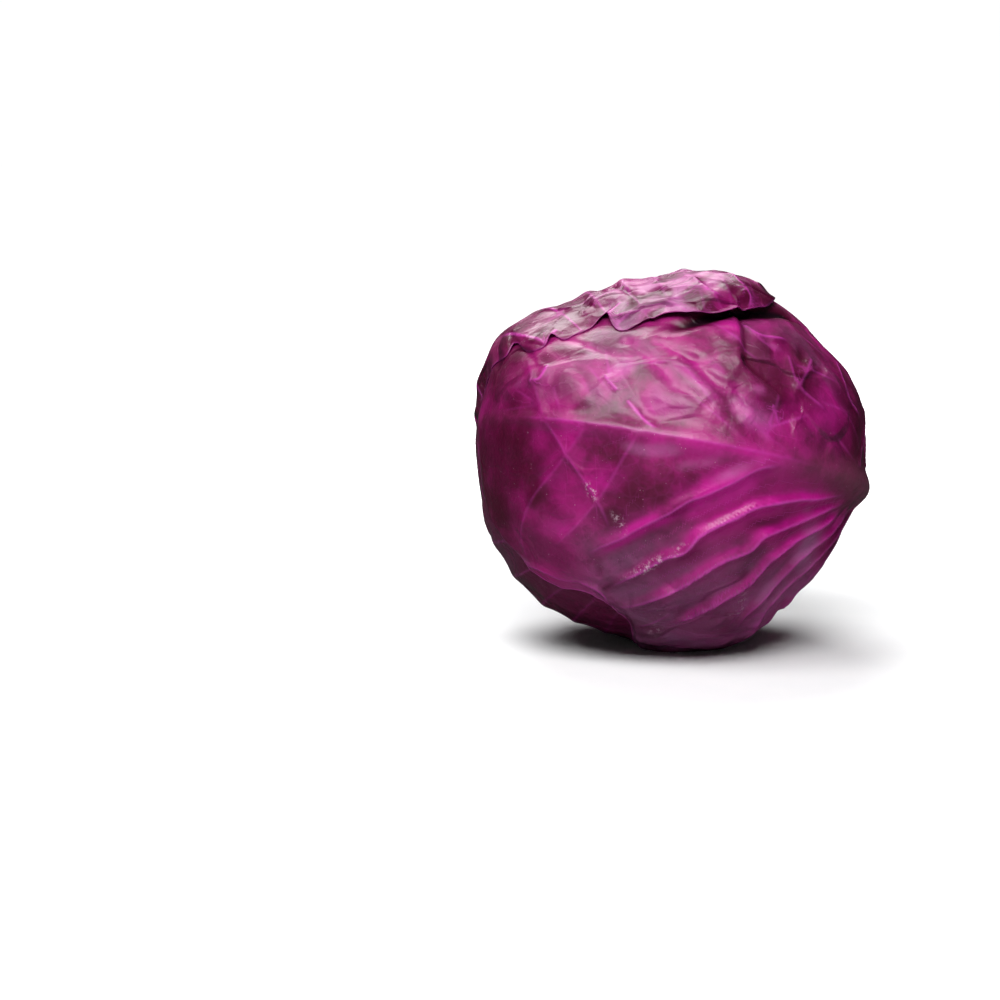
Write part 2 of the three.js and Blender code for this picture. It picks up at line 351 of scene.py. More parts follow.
def leaf_skin(name, bloom_and_sheen, roughness, wrinkle):
    """The waxy skin of a leaf. Its marks say where it has wax bloom and painted sheen, darker crimson and
    painted shade, vivid colour, a rib or wear.
    """
    material, tree, shader, place = new_material(name)

    def marked(attribute):
        return add_node(tree, "ShaderNodeAttribute", attribute_name=attribute).outputs["Fac"]

    def grain(scale, detail, roughness=0.6, distortion=0.0):
        settings = dict(Scale=scale, Detail=detail, Roughness=roughness, Distortion=distortion)
        return add_node(tree, "ShaderNodeTexNoise", Vector=place, **settings).outputs["Fac"]

    def times(first, second):
        return maths(tree, "MULTIPLY", first, second).outputs[0]

    def plus(first, second):
        return maths(tree, "ADD", first, second).outputs[0]

    def vectors(operation, *values):
        return maths(tree, operation, *values, kind="ShaderNodeVectorMath").outputs

    def facets(scale, tilt):
        """Flat cells, long along the folds, each tilted its own way: (random colour, height in m)."""
        cells = add_node(tree, "ShaderNodeTexVoronoi", feature="SMOOTH_F1",
                         Vector=slanted, Scale=scale, Smoothness=0.40)
        tilted = vectors("SUBTRACT", cells.outputs["Color"], (0.5, 0.5, 0.5))["Vector"]
        offset = vectors("SUBTRACT", slanted, cells.outputs["Position"])["Vector"]
        return cells.outputs["Color"], times(vectors("DOT_PRODUCT", tilted, offset)["Value"], tilt)

    bend = add_node(tree, "ShaderNodeTexNoise", Vector=place, Scale=45.0, Detail=1.0).outputs["Color"]
    bent = vectors("MULTIPLY_ADD", bend, (0.010, 0.010, 0.010), place)["Vector"]
    turned = add_node(tree, "ShaderNodeMapping", Vector=bent,
                      Rotation=(0, FOLD_SLANT, 0), Scale=(FOLD_STRETCH, 1, 1))
    slanted = turned.outputs["Vector"]
    broad_colour, broad_rise = facets(70.0, 0.62)
    _, fine_rise = facets(150.0, 0.40)
    tint = add_node(tree, "ShaderNodeSeparateColor", Color=broad_colour)

    mottle = stretched(tree, grain(34.0, 5.0), 0.38, 0.62)
    streaks = grain(230.0, 4.0, 0.65)
    colour = mixed(tree, mottle, DEEP_PURPLE, BRIGHT_PURPLE)
    colour = mixed(tree, times(stretched(tree, streaks, 0.45, 0.75), 0.25), colour, BRIGHT_PURPLE)
    # Vivid magenta: the leaf's own colour on veins and in patches, and in places painted light, along the
    # lit rib and under the painted highlights.
    uneven = plus(times(stretched(tree, grain(62.0, 4.0), 0.40, 0.60), 0.6), 0.4)
    colour = mixed(tree, times(marked("vivid"), uneven), colour, VIVID_MAGENTA)

    # Wax bloom, and painted sheen where the marks put it on lit places, turn the colour greyish lilac in
    # patches and on some facets.
    patches = stretched(tree, grain(75.0, 6.0, 0.62, 0.6), 0.28, 0.58)
    rubbed = stretched(tree, grain(420.0, 3.0, 0.7), 0.15, 0.50)
    pale_facets = times(stretched(tree, tint.outputs["Blue"], 0.62, 0.72), times(marked("crumpled"), 0.5))
    hazy = plus(times(times(patches, rubbed), 0.5), 0.5)
    wax_and_sheen = times(hazy, maths(tree, "MAXIMUM", marked("bloom_and_sheen"), pale_facets).outputs[0])
    colour = mixed(tree, times(wax_and_sheen, bloom_and_sheen), colour, BLOOM_AND_SHEEN)

    net = add_node(tree, "ShaderNodeTexVoronoi", feature="DISTANCE_TO_EDGE", Vector=place, Scale=210.0)
    net_line = stretched(tree, net.outputs["Distance"], 0.12, 0.0)
    colour = mixed(tree, times(net_line, 0.04), colour, VEIN_PINK)
    # Painted shade, with the leaf's own darker crimson: the mark turns the colour crimson.
    colour = mixed(tree, times(marked("shade_and_crimson"), 0.9), colour, CRIMSON)
    dark_facets = times(stretched(tree, tint.outputs["Red"], 0.60, 0.70), times(marked("crumpled"), 0.6))
    colour = mixed(tree, dark_facets, colour, DEEP_PURPLE)
    colour = mixed(tree, times(marked("rib"), 0.70), colour, RIB_MAUVE)
    ragged = plus(maths(tree, "ABSOLUTE", marked("line_off")).outputs[0], times(streaks, 0.7))
    line = times(marked("line_on"), stretched(tree, ragged, 1.25, 0.25))
    colour = mixed(tree, times(line, 0.75), colour, VEIN_PINK)
    # Painted shadow: where the mark goes above 1, under the top leaf's lifted edge, the colour goes
    # near-black.
    colour = mixed(tree, stretched(tree, marked("shade_and_crimson"), 1.05, 1.5), colour, DEEP_SHADE)
    worn = times(marked("dry"), stretched(tree, grain(560.0, 4.0, 0.75), 0.50, 0.62))
    colour = mixed(tree, worn, colour, DRY_EDGE)
    specks = stretched(tree, grain(1000.0, 1.0), 0.755, 0.790)
    colour = mixed(tree, times(specks, 0.3), colour, DRY_EDGE)

    dull = plus(plus(times(wax_and_sheen, 0.16), times(patches, 0.05)), times(worn, 0.2))
    height = plus(grain(130.0, 3.0, 0.5, 0.5), times(grain(420.0, 3.0, 0.6), 0.18))
    height = plus(height, plus(times(net_line, 0.05), times(line, 0.25)))
    folded = times(plus(broad_rise, times(fine_rise, marked("crumpled"))), marked("crumpled"))
    folds = add_node(tree, "ShaderNodeBump", Height=folded, Strength=1.0, Distance=1.0).outputs["Normal"]
    bump = add_node(tree, "ShaderNodeBump",
                    Height=height, Strength=wrinkle, Distance=0.0010, Normal=folds)
    set_inputs(
        tree, shader,
        Base_Color=colour,
        Roughness=plus(dull, roughness),
        Specular_IOR_Level=0.36,
        Coat_Weight=0.09,
        Coat_Roughness=0.16,
        Normal=bump.outputs["Normal"],
    )
    return material


young_skin = leaf_skin("young_leaf_skin", bloom_and_sheen=0.0, roughness=0.36, wrinkle=0.25)
for node_name in ("head_leaf_6", "head_leaf_7", "head_leaf_8"):
    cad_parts[node_name].data.materials.clear()
    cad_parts[node_name].data.materials.append(young_skin)

heart_flesh, tree, shader, place = new_material("heart_flesh")
folds = add_node(tree, "ShaderNodeTexWave", wave_type="RINGS",
                 Vector=place, Scale=55.0, Distortion=6.0, Detail=3.0).outputs["Fac"]
fold_bump = add_node(tree, "ShaderNodeBump", Height=folds, Strength=0.4, Distance=0.001)
colour = mixed(tree, folds, HEART_CREAM, HEART_PURPLE)
set_inputs(tree, shader, Base_Color=colour, Roughness=0.45, Normal=fold_bump.outputs["Normal"])
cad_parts["heart"].data.materials.clear()
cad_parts["heart"].data.materials.append(heart_flesh)

# --- Inner head leaf ------------------------------------------------------------------------------
# The innermost leaf with a crinkled edge of its own; it shows only beside the stem. Each leaf grows from
# the stem, wraps the head with its ribbed back outwards, and ends in a thin edge.
OUTLINE_RADII = [
    75.4, 78.0, 74.8, 75.0, 74.6, 71.0, 73.0, 82.0, 81.8,
    80.2, 80.3, 78.8, 76.2, 75.0, 76.0, 75.4, 71.8, 72.2,
]
DEPTH_RADIUS = 75.5
PRESSED_HEIGHT = 72.0
HEAD_ROLL = math.radians(9)
LAYER_SHRINK = 0.035
LEAF_ANGLE = 137.5
FIRST_LEAF_AZIMUTH = 135
LEAF_MIDDLE = math.radians(105)
MM_PER_DEGREE = 1.3
BASE_RADIUS = 18.2
PRESSED_GAP = 0.45
FLATTENED_LAYER = 1.1
LEAF_THICKNESS = 0.95
PAST_THE_BASE = -0.08
TRIES = 6
STROKE_STEPS = 6
ROUND_SIDE = [16, 52, 74, 84, 88, 86, 78, 62, 30]
ROUND_TIP = [-14, -6, -2, 0, -2, -6, -14]
LEAF_MARKS = ("bloom_and_sheen", "shade_and_crimson", "vivid", "rib", "dry", "crumpled", "line_off", "line_on")


def smoothstep(value, start, end):
    """Rises smoothly from 0 to 1 as value goes from start to end."""
    share = np.clip((value - start) / (end - start), 0, 1)
    return share * share * (3 - 2 * share)


def through_values(values, place, closed=False):
    """A smooth curve through evenly spaced values, read at places from 0 to the last value's number."""
    values = np.asarray(values, float)
    last = len(values) - 1
    low = np.floor(place).astype(int) if closed else np.clip(np.floor(place), 0, last - 1).astype(int)
    share = place - low

    def at(index):
        return values[index % len(values)] if closed else values[np.clip(index, 0, last)]

    before, first, second, after = at(low - 1), at(low), at(low + 1), at(low + 2)
    bend = 2 * before - 5 * first + 4 * second - after + share * (3 * (first - second) + after - before)
    return first + 0.5 * share * (second - before + share * bend)


def head_radius(directions):
    """The radius of the whole head in mm: its outline from the front, rounded in depth, flat below."""
    turn = np.degrees(np.arctan2(directions[:, 2], directions[:, 0])) % 360
    outline = through_values(OUTLINE_RADII, turn / 20, closed=True)
    radius = outline + (DEPTH_RADIUS - outline) * directions[:, 1] ** 2
    drop = np.minimum(directions[:, 2], -1e-6)
    return np.where(radius * drop < -PRESSED_HEIGHT, -PRESSED_HEIGHT / drop, radius)


def leaf_axes(layer):
    """The directions out through a leaf's middle, along it to its tip, and across to its upper side."""
    azimuth = math.radians(FIRST_LEAF_AZIMUTH - LEAF_ANGLE * layer)
    upper = np.array([0, math.sin(HEAD_ROLL), math.cos(HEAD_ROLL)])
    upper = upper - (upper @ stemward) * stemward
    upper /= np.linalg.norm(upper)
    front = np.cross(stemward, upper)
    side = math.cos(azimuth) * front + math.sin(azimuth) * upper
    across = math.cos(azimuth) * upper - math.sin(azimuth) * front
    out = math.cos(LEAF_MIDDLE) * stemward + math.sin(LEAF_MIDDLE) * side
    along = math.cos(LEAF_MIDDLE) * side - math.sin(LEAF_MIDDLE) * stemward
    return out, along, across


def directions_on_leaf(layer, along, across):
    """Unit directions from the middle of the head to places on a leaf."""
    out, lengthwise, crosswise = leaf_axes(layer)
    arc = np.radians(np.hypot(along, across))
    reach = np.where(arc > 1e-9, np.sin(arc) / np.maximum(arc, 1e-9), 1)
    level = np.outer(np.radians(along) * reach, lengthwise)
    level += np.outer(np.radians(across) * reach, crosswise)
    return np.outer(np.cos(arc), out) + level


def places_on_leaf(layer, directions):
    """The other way round: how far along and across a leaf its directions lie, in degrees."""
    out, lengthwise, crosswise = leaf_axes(layer)
    arc = np.arccos(np.clip(directions @ out, -1, 1))
    reach = np.degrees(arc) / np.maximum(np.sin(arc), 1e-9)
    return (directions @ lengthwise) * reach, (directions @ crosswise) * reach


def leaf_base(layer):
    """Where a leaf leaves the stem, in degrees along it."""
    radius = head_radius(stemward[None, :])[0] * (1 - layer * LAYER_SHRINK)
    return math.degrees(math.asin(BASE_RADIUS / radius) - LEAF_MIDDLE)


def at_share(values, share):
    """A smooth curve through evenly spaced values, read at a share (0 to 1) of its length."""
    return through_values(values, np.clip(share, 0, 1) * (len(values) - 1))


def half_width(leaf, run, side):
    """A leaf's half-width on one side of its midrib, in degrees, at a share of its length."""
    return np.where(side < 0, at_share(leaf["lower"], run), at_share(leaf["upper"], run))


def tip_along(leaf, side):
    """How far along a leaf its tip is, in degrees, at a share of its width."""
    return at_share(leaf["tip"], (side + 1) / 2)


def leaf_outline(leaf, run, side):
    """How far along and across a leaf it is at a share of its length (0 to 1) and width (-1 to 1)."""
    across = side * half_width(leaf, run, side)
    base = leaf_base(leaf["layer"])
    along = base + (tip_along(leaf, side) - base) * run
    along -= 9 * smoothstep(np.abs(side), 0.7, 1) ** 2 * run ** 6
    for spot, depth, width in leaf.get("nicks", []):
        along -= depth * np.exp(-((across - spot) / width) ** 2) * run ** 5
    return along, across


def edge_distance(leaf, run, side):
    """How far in from the leaf's edge a place is, in mm."""
    from_side = (1 - np.abs(side)) * half_width(leaf, run, side)
    from_tip = (1 - run) * (tip_along(leaf, side) - leaf_base(leaf["layer"]))
    return MM_PER_DEGREE * np.minimum(from_side, from_tip)


def shares_on_leaf(leaf, along, across):
    """The shares of a leaf's length and width at places on it, found in a few rounds of trying."""
    base = leaf_base(leaf["layer"])
    run = np.full(len(along), 0.5)
    for _ in range(TRIES):
        side = across / half_width(leaf, run, across)
        run = (along - base) / (tip_along(leaf, side) - base)
    return run, side


def off_line(along, across, points):
    """Degrees from a smooth line, positive on its left as it runs, and the share of its length there."""
    stops = np.linspace(0, len(points) - 1, STROKE_STEPS * (len(points) - 1) + 1)
    line = np.column_stack([through_values(row, stops) for row in zip(*points)])
    start, span = line[:-1], np.diff(line, axis=0)
    place = np.column_stack([along, across])[:, None, :] - start[None]
    share = np.clip((place * span).sum(axis=2) / (span ** 2).sum(axis=1), 0, 1)
    gap = place - share[..., None] * span[None]
    distance = np.hypot(gap[..., 0], gap[..., 1])
    nearest = distance.argmin(axis=1)
    row = np.arange(len(along))
    turned = span[nearest, 0] * gap[row, nearest, 1] - span[nearest, 1] * gap[row, nearest, 0]
    off = distance[row, nearest] * np.where(turned < 0, -1, 1)
    return off, (nearest + share[row, nearest]) / len(span)


def trough(distance, width):
    """A trough that starts at 0 at a crest, is deepest a width away, and dies out beyond it."""
    off = np.maximum(distance, 0) / width
    return off * np.exp(1 - off)


class Relief:
    """The relief of one leaf, in mm, and its marks, drawn stroke by stroke in degrees on the leaf."""

    def __init__(self, leaf, directions):
        self.leaf = leaf
        self.along, self.across = places_on_leaf(leaf["layer"], directions)
        self.places = directions * DEPTH_RADIUS
        self.height = np.zeros(len(directions))
        self.marks = {name: np.zeros(len(directions)) for name in LEAF_MARKS}
        self.marks["line_off"] += 9

    def mark(self, name, values):
        """Raises a mark to at least these values."""
        self.marks[name] = np.maximum(self.marks[name], values)

    def line(self, off, strength):
        """Marks a thin pale line, off degrees away, where it is nearer than the lines before it."""
        nearer = (np.abs(off) < np.abs(self.marks["line_off"])) & (strength > 0)
        self.marks["line_off"] = np.where(nearer, off, self.marks["line_off"])
        self.marks["line_on"] = np.where(nearer, strength, self.marks["line_on"])

    def stroke(self, points, crest=0.0, width=1.2, left=0.0, left_width=4.0, right=0.0, right_width=4.0,
               step=0.0, line=0.0, dark=0.0, vivid=0.0, fade=(0.1, 0.2)):
        """A crest or groove along a line, with troughs beside it or a step down to its right, and painted
        shade in them.
        """
        off, share = off_line(self.along, self.across, points)
        ends = smoothstep(share, 0.0, fade[0]) * (1 - smoothstep(share, 1 - fade[1], 1.0))
        left_hollow, right_hollow = trough(off, left_width), trough(-off, right_width)
        ridge = crest * np.exp(-(off / width) ** 2)
        self.height += ends * (ridge - left * left_hollow - right * right_hollow)
        drop = np.where(off > 0, np.exp(-off / 8), -np.exp(off / 5)) * smoothstep(np.abs(off), 0, 1.5)
        self.height += ends * step * drop
        band = np.exp(-(off / (1.3 * width)) ** 2) * (crest < 0)
        for shade_and_crimson, away, reach in ((left, off, left_width), (right, -off, right_width)):
            beside = smoothstep(away, 0, 0.5) * (1 - smoothstep(away, 0.4 * reach, 1.3 * reach))
            band = np.maximum(band, beside * np.clip(shade_and_crimson, 0, 1))
        foot = smoothstep(off, -4.5, -1.5) * (1 - smoothstep(off, -0.6, 0.4))
        band = np.maximum(band, foot * (step > 0))
        self.mark("shade_and_crimson", dark * ends * band)
        self.mark("vivid", vivid * ends * band)
        if line:
            self.line(off, line * ends)

    def patch(self, name, strength, middle, size, turn=0.0, rise=0.0):
        """A soft patch of a mark, with its half-length and half-width, that may bulge."""
        angle = math.radians(turn)
        aside, above = self.along - middle[0], self.across - middle[1]
        lengthwise = (aside * math.cos(angle) + above * math.sin(angle)) / size[0]
        crosswise = (above * math.cos(angle) - aside * math.sin(angle)) / size[1]
        reach = np.hypot(lengthwise, crosswise) + 0.4 * noise(self.places, 9, 90)
        self.mark(name, strength * (1 - smoothstep(reach, 0.1, 1.25)))
        self.height += rise * (1 - smoothstep(reach, 0.0, 1.1))

    def folds(self, count, seed, height, width, length, region, turn, share=1.0, lined=0.4):
        """Scatters straight folds over a region of the leaf, so that flat facets meet between them."""
        chance = np.random.default_rng(seed)
        for _ in range(count):
            middle = chance.uniform(region[0], region[1])
            angle = math.radians(turn + chance.normal(0, 38))
            size = chance.uniform(0.45, 1.0)
            aside, above = self.along - middle[0], self.across - middle[1]
            lengthwise = aside * math.cos(angle) + above * math.sin(angle)
            off = above * math.cos(angle) - aside * math.sin(angle)
            tent = np.clip(1 - np.abs(off) / (width * size), 0, 1)
            reach = np.exp(-(lengthwise / (length * size)) ** 2)
            self.height += share * chance.choice((-1, 1)) * height * size * tent * reach
            if chance.uniform() < lined:
                self.line(off, 0.55 * share * size * reach * (reach > 0.25))


def side_veins(along, across, starts, layer):
    """Degrees off the nearest of the side veins, which leave the midrib at these starts and sweep out."""
    away = np.abs(across)
    wander = 2.2 * np.sin(away / 13 + layer * 1.7 + np.sign(across)) + 1.2 * np.sin(along / 9 + layer)
    sweep = along - away * (0.62 + 0.45 * smoothstep(away, 0, 40)) + wander * smoothstep(away, 4, 20)
    offsets = sweep[:, None] - np.asarray(starts, float)[None, :] - 3 * np.sign(across)[:, None]
    return offsets[np.arange(len(along)), np.abs(offsets).argmin(axis=1)] * 0.68


def plain_relief(relief):
    """Draws a leaf that shows little: its midrib, side veins and folds."""
    leaf, layer = relief.leaf, relief.leaf["layer"]
    along, across = relief.along, relief.across
    toward_base = 1 - smoothstep(along, -88, -30)
    rib = np.exp(-(across / (3.0 + 4.5 * toward_base)) ** 2) * (1 - smoothstep(along, 30, 75))
    relief.height += rib * (0.8 + leaf["midrib"] * toward_base)
    relief.mark("rib", rib * (0.35 + 0.65 * toward_base))
    off = side_veins(along, across, leaf["veins"], layer)
    width = 1.5 + 1.6 * (1 - smoothstep(np.abs(across), 5, 60))
    fading = smoothstep(np.abs(across), 2, 9) * (1 - 0.75 * smoothstep(np.abs(across), 10, 75))
    relief.height += 0.9 * np.exp(-(off / width) ** 2) * fading * (1 - 0.5 * smoothstep(along, 20, 70))
    relief.line(off, leaf.get("veined", 0.8) * fading)
    relief.folds(70, 11 * layer + 1, leaf["rumple"], 11, 15, ((-85, -85), (95, 85)), 60, lined=0.1)
    broad = noise(relief.places, 34, 11 * layer + 3)
    relief.height += 0.8 * broad
    relief.mark("bloom_and_sheen", 0.1 + 0.4 * smoothstep(noise(relief.places, 22, 11 * layer + 4), -0.2, 0.5))
    # Painted shade and darker crimson: over the whole of a leaf given dark, and where the broad
    # undulation sinks.
    dark = leaf.get("dark", 0.0)
    relief.mark("shade_and_crimson", dark + 0.5 * smoothstep(-broad, 0.2, 0.7) * (1 - dark))
    relief.marks["crumpled"] += 0.3


def laid_over(leaves, directions):
    """Lays leaves from the inside out: the outermost one's radius in mm, and its marks."""
    below = head_radius(directions) * (1 - (leaves[0]["layer"] + 1) * LAYER_SHRINK)
    for leaf in leaves:
        relief = Relief(leaf, directions)
        leaf["relief"](relief)
        run, side = shares_on_leaf(leaf, relief.along, relief.across)
        inside = np.where(run < PAST_THE_BASE, -9, edge_distance(leaf, run, side))
        own = head_radius(directions) * (1 - leaf["layer"] * LAYER_SHRINK) + relief.height
        pressed = 1 - smoothstep(inside, 1, 10)
        own = own + (below + PRESSED_GAP - own) * pressed
        own = np.maximum(own, below + PRESSED_GAP + 0.6 * smoothstep(inside, 1, 8))
        if "lift" in leaf:
            own = own + leaf["lift"](relief.along, relief.across, inside)
        above_table = 1000 * head_centre[2] - FLATTENED_LAYER * max(leaf["layer"] - 1, 0)
        own = np.minimum(own, above_table / np.maximum(-directions[:, 2], 1e-6))
        below = below + (own - below) * smoothstep(inside, -3, 0)
    return own, relief.marks


def grow_leaf(leaves, name, cells, skin, node_name):
    """Makes the outermost of these leaves: a grid drawn over the head, then given its thickness."""
    leaf = leaves[-1]
    bpy.ops.object.select_all(action="DESELECT")
    bpy.ops.mesh.primitive_grid_add(x_subdivisions=cells, y_subdivisions=cells, size=2)
    piece = bpy.context.object
    piece.name = name
    grid = points_of(piece.data)
    side, run = grid[:, 0], (grid[:, 1] + 1) / 2
    along, across = leaf_outline(leaf, run, side)
    directions = directions_on_leaf(leaf["layer"], along, across)
    inside = edge_distance(leaf, run, side)
    fringe = 1.3 * (1 - smoothstep(inside, 0, 14)) * run
    along = along + fringe * noise(directions * DEPTH_RADIUS, 13, leaf["layer"] + 40)
    across = across + fringe * noise(directions * DEPTH_RADIUS, 15, leaf["layer"] + 50)
    directions = directions_on_leaf(leaf["layer"], along, across)
    radius, marks = laid_over(leaves, directions)
    ripple = noise(directions * DEPTH_RADIUS, 7, leaf["layer"] + 60) * (1 - smoothstep(inside, 0, 9))
    ripple *= smoothstep(run, 0.1, 0.3) * smoothstep(directions[:, 2], -0.85, -0.7)
    radius = radius + leaf.get("ripple", 0.4) * np.maximum(ripple, -0.2)
    set_points(piece.data, head_centre + directions * radius[:, None] / 1000)
    degrees_in = inside / MM_PER_DEGREE
    margin = (degrees_in < np.abs(marks["line_off"])) & (run > 0.2)
    marks["line_off"] = np.where(margin, degrees_in, marks["line_off"])
    marks["line_on"] = np.where(margin, leaf.get("margin", 0.5), marks["line_on"])
    for mark, values in marks.items():
        set_attribute(piece.data, mark, values)
    body = piece.vertex_groups.new(name="body")
    share = np.round(0.35 + 0.65 * smoothstep(inside, 1, 8), 2)
    for level in np.unique(share):
        body.add(np.flatnonzero(share == level).tolist(), float(level), "REPLACE")
    solid = piece.modifiers.new("thickness", "SOLIDIFY")
    solid.thickness = LEAF_THICKNESS / 1000
    solid.offset = -1
    solid.vertex_group = "body"
    bpy.ops.object.modifier_apply(modifier=solid.name)
    bpy.ops.object.shade_smooth()
    piece.data.materials.append(skin)
    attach(piece, "root")
    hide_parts(node_name)


plain_leaf = {"lower": ROUND_SIDE, "upper": ROUND_SIDE, "relief": plain_relief}
inner_leaf = {
    **plain_leaf, "layer": 4, "tip": [94 + bow for bow in ROUND_TIP], "midrib": 0.5, "rumple": 0.45,
    "veins": (-75, -58, -42, -27, -12, 4, 22, 42),
}
head_skin = leaf_skin("head_leaf_skin", bloom_and_sheen=0.30, roughness=0.34, wrinkle=0.5)
grow_leaf([inner_leaf], "inner_head_leaf", 110, head_skin, "head_leaf_5")

# --- Crown leaf -----------------------------------------------------------------------------------
# The innermost wrapper leaf, waxy and lightly veined. It grows from the stem, closes over the crown
# under the other wrapper leaves, and shows only beside the stem.
crown_leaf = {
    **plain_leaf, "layer": 3, "tip": [100 + bow for bow in ROUND_TIP], "midrib": 0.8, "rumple": 0.5,
    "veins": (-76, -60, -44, -28, -12, 6, 26, 46),
}
wrapper_skin = leaf_skin("wrapper_leaf_skin", bloom_and_sheen=0.9, roughness=0.35, wrinkle=0.45)
grow_leaf([inner_leaf, crown_leaf], "crown_leaf", 150, wrapper_skin, "wrapper_leaf_crown")

# --- Under leaf -----------------------------------------------------------------------------------
# The wrapper leaf round the underside and the lower back. It is painted the darkest: painted shade and
# darker crimson over the whole leaf. It shows past the edge of the front leaf, which the head lies on.
under_leaf = {
    **plain_leaf, "layer": 2, "tip": [94 + bow for bow in ROUND_TIP], "midrib": 3.6, "rumple": 0.55,
    "veins": (-76, -60, -45, -30, -14, 4, 22, 42), "dark": 0.85, "veined": 0.3,
}
lower_leaves = [inner_leaf, crown_leaf, under_leaf]
grow_leaf(lower_leaves, "under_leaf", 180, wrapper_skin, "wrapper_leaf_under")

# --- Front leaf -----------------------------------------------------------------------------------
# The big wrapper leaf that faces the front. A broad rib runs level across it from the stem and dwindles
# towards the crown. Below the rib its side veins lie in terraces; above, the leaf is creased in facets.


def front_relief(relief):
    """Draws the front leaf, as if it lay flat with its tip to the right and its upper side up.

    A stroke's left and right are those of its own course.
    """
    along, across = relief.along, relief.across
    stroke, patch = relief.stroke, relief.patch
    rib_width = np.interp(along, [-85, -50, -10, 60], [8.0, 6.0, 4.4, 2.4])
    rib_height = np.interp(along, [-95, -88, -66, -30, 20, 62, 80], [4.5, 5.2, 4.6, 2.9, 2.3, 1.5, 0.2])
    rib = np.exp(-((across - 1.3) / rib_width) ** 2)
    relief.height += rib_height * rib
    relief.mark("rib", rib * np.interp(along, [-80, -40, 0], [1.0, 0.7, 0.1]))
    # Painted highlight where the front lights fall on the rib: a pale line along its upper edge and vivid
    # magenta along it.
    lit = smoothstep(along, -25, 5) * (1 - smoothstep(along, 55, 72))
    relief.line(across - 1.6, 0.4 * lit)
    relief.mark("vivid", 0.7 * lit * np.exp(-((across - 0.5) / 2.6) ** 2))
    relief.height += 0.7 * noise(relief.places, 36, 23)

    # Veins below the rib, from the crown end to the stem end, with the flat terraces between them.
    stroke([(-8, -0.5), (-1.5, -3), (4.5, -8), (12, -13.5), (16, -16), (20.5, -20.5), (27.5, -27),
            (32, -32), (37, -36.5), (41, -41)],
           crest=1.0, width=1.8, left=0.4, right=1.4, right_width=3.5, vivid=0.9, line=0.8)
    stroke([(-41, -3.5), (-27, -7.5), (-18.5, -9), (-5.5, -13.5), (0, -17.5), (5, -21), (10, -25.5),
            (12.5, -31.5), (17.5, -35), (23, -42), (27.5, -47.5), (31, -52)],
           crest=1.2, left=1.4, left_width=3.2, right=0.5, vivid=0.9, line=1.0)
    stroke([(-44, -6), (-30, -12), (-17, -18.5), (-10.5, -22), (-8, -27), (0, -31.5), (4.5, -36.5),
            (10.5, -45), (18.5, -54), (28, -61)],
           crest=1.2, left=1.5, left_width=3.0, right=0.3, vivid=0.8, line=0.9)
    stroke([(-46, -9), (-36, -15), (-25, -21), (-18, -28.5), (-14.5, -34), (-12.5, -38.5), (-6.5, -44),
            (-1.5, -51), (2.5, -57.5), (5, -63.5)],
           crest=1.1, left=1.4, left_width=2.8, right=0.4, vivid=0.8, line=0.8)
    stroke([(-50, -5.5), (-47, -14.5), (-40, -19.5), (-33.5, -24.5), (-30, -27.5), (-27.5, -33),
            (-22, -44), (-19, -50.5), (-21.5, -60)],
           crest=1.1, width=1.4, left=1.2, left_width=2.6, right=0.4, vivid=0.5, line=0.6)
    stroke([(-66, -6), (-57, -14), (-48, -22), (-38, -32), (-30, -40), (-28, -52), (-31, -66)],
           crest=1.1, width=1.4, left=1.2, left_width=2.4, right=0.4, line=0.5)
    stroke([(-70, -12), (-60, -22), (-50, -32), (-42, -42), (-42, -56)],
           crest=0.9, width=1.4, left=1.0, left_width=2.4, line=0.4)
    stroke([(33.5, 1), (37, -8), (41, -20), (47, -33), (52, -42)],
           crest=0.5, width=1.5, left=0.3, right=0.3, line=0.22)
    stroke([(48, 1.5), (55, -12), (62, -26), (64, -42), (60, -54)],
           crest=0.5, width=1.5, left=0.3, right=0.3, line=0.18)
    stroke([(62, 2), (52, -10.5), (47, -16), (41, -22.5), (36, -30)], crest=0.4, left=0.3, line=0.35)
    # Painted shade: darker crimson in two hollows below the rib.
    patch("shade_and_crimson", 0.95, (-10, -18), (8, 2.6), -12)
    patch("shade_and_crimson", 0.5, (38, -27), (8, 6), -45)
    # Vivid magenta patches below the rib, brightest where the front lights fall: in part painted light.
    for spot in (
        (0.9, (27, -26), (13, 3), -46), (1.0, (6, -9), (28, 7), -35),
        (0.6, (40, -14), (10, 5), -30), (0.5, (58, -18), (7, 4), 20), (0.5, (52, -34), (8, 4), -20),
    ):
        patch("vivid", *spot)
    patch("bloom_and_sheen", 0.5, (14, -4), (10, 2.5), -20)
    for spot in (
        (1.0, (20, -38), (12, 1.3), -50), (0.8, (44, -19), (4, 1.6), 50),
        (0.7, (34, -27), (4, 1.6), 50), (0.5, (-14, -45), (8, 3), 70), (0.5, (8, -66), (8, 3), 70),
    ):
        patch("dry", *spot)

    # The crinkled margin at the lower left, and the crimson rim that the head lies on, with painted shade
    # in its grooves.
    stroke([(84, -48), (76, -54), (66, -56), (54, -54), (46, -55), (38, -51)],
           crest=0.8, left=0.5, right=0.4, line=0.7)
    stroke([(40, -53), (33.5, -53), (31, -55.5), (28.5, -60)], crest=0.7, left=0.3, line=1.0)
    stroke([(37, -41), (34.5, -46.5), (34.5, -49)], crest=-0.5, dark=0.4, fade=(0.4, 0.4))
    stroke([(32, -53), (30, -50), (25, -45)], crest=-0.7, dark=0.7, fade=(0.2, 0.6))
    for spot in (
        (0.8, (68, -55), (12, 3.5), 0), (0.9, (-34, -24), (14, 9), 60),
        (0.8, (-26, -42), (14, 8), 60), (0.9, (-8, -68), (22, 8), 0),
    ):
        patch("bloom_and_sheen", *spot)
